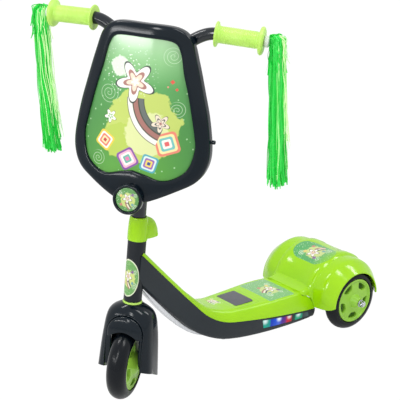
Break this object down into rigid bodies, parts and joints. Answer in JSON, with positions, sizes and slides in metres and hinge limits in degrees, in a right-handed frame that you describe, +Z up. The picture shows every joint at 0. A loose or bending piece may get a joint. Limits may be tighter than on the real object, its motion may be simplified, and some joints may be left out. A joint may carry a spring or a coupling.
{
  "type": "three-wheel kids' kick scooter",
  "caption": "Three-wheel kids' kick scooter: steered front fork, low lit deck, enclosed rear wheels, bar shield and hanging grip streamers.",
  "frame": {"origin": "on the floor, in the deck's middle plane across the scooter, 229 mm behind the point where the steering axis meets the floor and about midway between the ends of the scooter", "axes": "+Z up; -Y ahead, the way the scooter rolls; +X to the rider's left as they look ahead. The front end is stored turned 33.24 degrees to the left, as in the picture."},
  "size_m": [0.3548, 0.5799, 0.6316],
  "materials": {
    "lime_gloss_plastic": "gloss",
    "lime_soft_grip": "satin",
    "lime_wheel_plastic": "satin",
    "black_gloss_paint": "gloss",
    "black_satin_paint": "satin",
    "grey_satin_paint": "satin",
    "black_gloss_plastic": "gloss",
    "black_matt_plastic": "matt",
    "dark_grey_rubber": "matt",
    "green_gloss_plastic": "gloss",
    "white_plastic": "satin",
    "clear_light_cover": "gloss",
    "board_green": "satin",
    "zinc_steel": "satin",
    "black_tyre": "satin",
    "green_ribbon": "satin"
  },
  "bodies": {
    "deck_frame": {"axle_tube": "zinc_steel", "battery_case": "black_matt_plastic", "battery_cell_1": "zinc_steel", "battery_cell_2": "zinc_steel", "battery_door": "black_matt_plastic", "deck_cover": "lime_gloss_plastic", "deck_lower_shell": "black_matt_plastic", "frame_tube": "grey_satin_paint", "head_cap": "lime_gloss_plastic", "head_tube": "black_satin_paint", "led_board_left": "board_green", "led_board_right": "board_green", "led_lens_left": "clear_light_cover", "led_lens_right": "clear_light_cover", "lower_bush": "white_plastic", "neck_strip": "grey_satin_paint", "pad_spring": "zinc_steel", "rear_axle": "zinc_steel", "rear_housing": "lime_gloss_plastic", "rear_nut_left": "zinc_steel", "rear_nut_right": "zinc_steel", "rear_washer_left": "zinc_steel", "rear_washer_right": "zinc_steel", "sound_board": "board_green", "speaker": "black_matt_plastic", "switch_carrier": "black_matt_plastic", "upper_bush": "white_plastic"},
    "steering": {"steering_column": "black_gloss_paint", "handlebar": "black_gloss_paint", "grip_left": "lime_soft_grip", "grip_right": "lime_soft_grip", "end_plug_left": "white_plastic", "end_plug_right": "white_plastic", "shield_back": "black_matt_plastic", "shield_bracket_lower": "black_matt_plastic", "shield_bracket_upper": "black_matt_plastic", "shield_frame": "black_gloss_plastic", "shield_panel": "green_gloss_plastic", "medallion_bezel": "black_gloss_plastic", "medallion_disc": "green_gloss_plastic", "side_stud": "black_gloss_plastic", "collar_ring": "lime_gloss_plastic", "fork_shell": "black_gloss_plastic", "front_mudguard": "black_gloss_plastic", "front_axle": "zinc_steel", "front_spacer_left": "zinc_steel", "front_spacer_right": "zinc_steel"},
    "front_wheel": {"front_hub": "lime_wheel_plastic", "front_tyre": "black_tyre"},
    "rear_wheel_left": {"rear_hub_left": "lime_wheel_plastic", "rear_tyre_left": "black_tyre"},
    "rear_wheel_right": {"rear_hub_right": "lime_wheel_plastic", "rear_tyre_right": "black_tyre"},
    "foot_switch": {"foot_pad": "dark_grey_rubber"},
    "streamer_left_body": {"streamer_left": "green_ribbon"},
    "streamer_right_body": {"streamer_right": "green_ribbon"}
  },
  "joints": [
    {"name": "steering_turn", "type": "hinge", "parent": "deck_frame", "child": "steering", "pos_m": [0, -0.229, 0], "axis": [0, 0.1213, 0.9926], "range_deg": [-73.24, 6.76]},
    {"name": "front_wheel_spin", "type": "hinge", "parent": "steering", "child": "front_wheel", "pos_m": [0.0057, -0.23031, 0.061], "axis": [0.8364, 0.5441, -0.0665], "continuous": true},
    {"name": "rear_wheel_left_spin", "type": "hinge", "parent": "deck_frame", "child": "rear_wheel_left", "pos_m": [0.0763, 0.2198, 0.0561], "axis": [1, 0, 0], "continuous": true},
    {"name": "rear_wheel_right_spin", "type": "hinge", "parent": "deck_frame", "child": "rear_wheel_right", "pos_m": [-0.0763, 0.2198, 0.0561], "axis": [1, 0, 0], "continuous": true},
    {"name": "foot_pad_press", "type": "slide", "parent": "deck_frame", "child": "foot_switch", "axis": [0, -0.0558, -0.9984], "range_m": [0, 0.0015], "stiffness_N_per_m": 2000, "deforming": ["pad_spring"]},
    {"name": "streamer_left_swing", "type": "hinge", "parent": "steering", "child": "streamer_left_body", "pos_m": [0.14202, -0.05024, 0.58682], "axis": [0.7947, 0.607, 0], "range_deg": [-50, 50]},
    {"name": "streamer_right_swing", "type": "hinge", "parent": "steering", "child": "streamer_right_body", "pos_m": [-0.15408, -0.24286, 0.61037], "axis": [0.8768, 0.4808, 0], "range_deg": [-50, 50]}
  ]
}
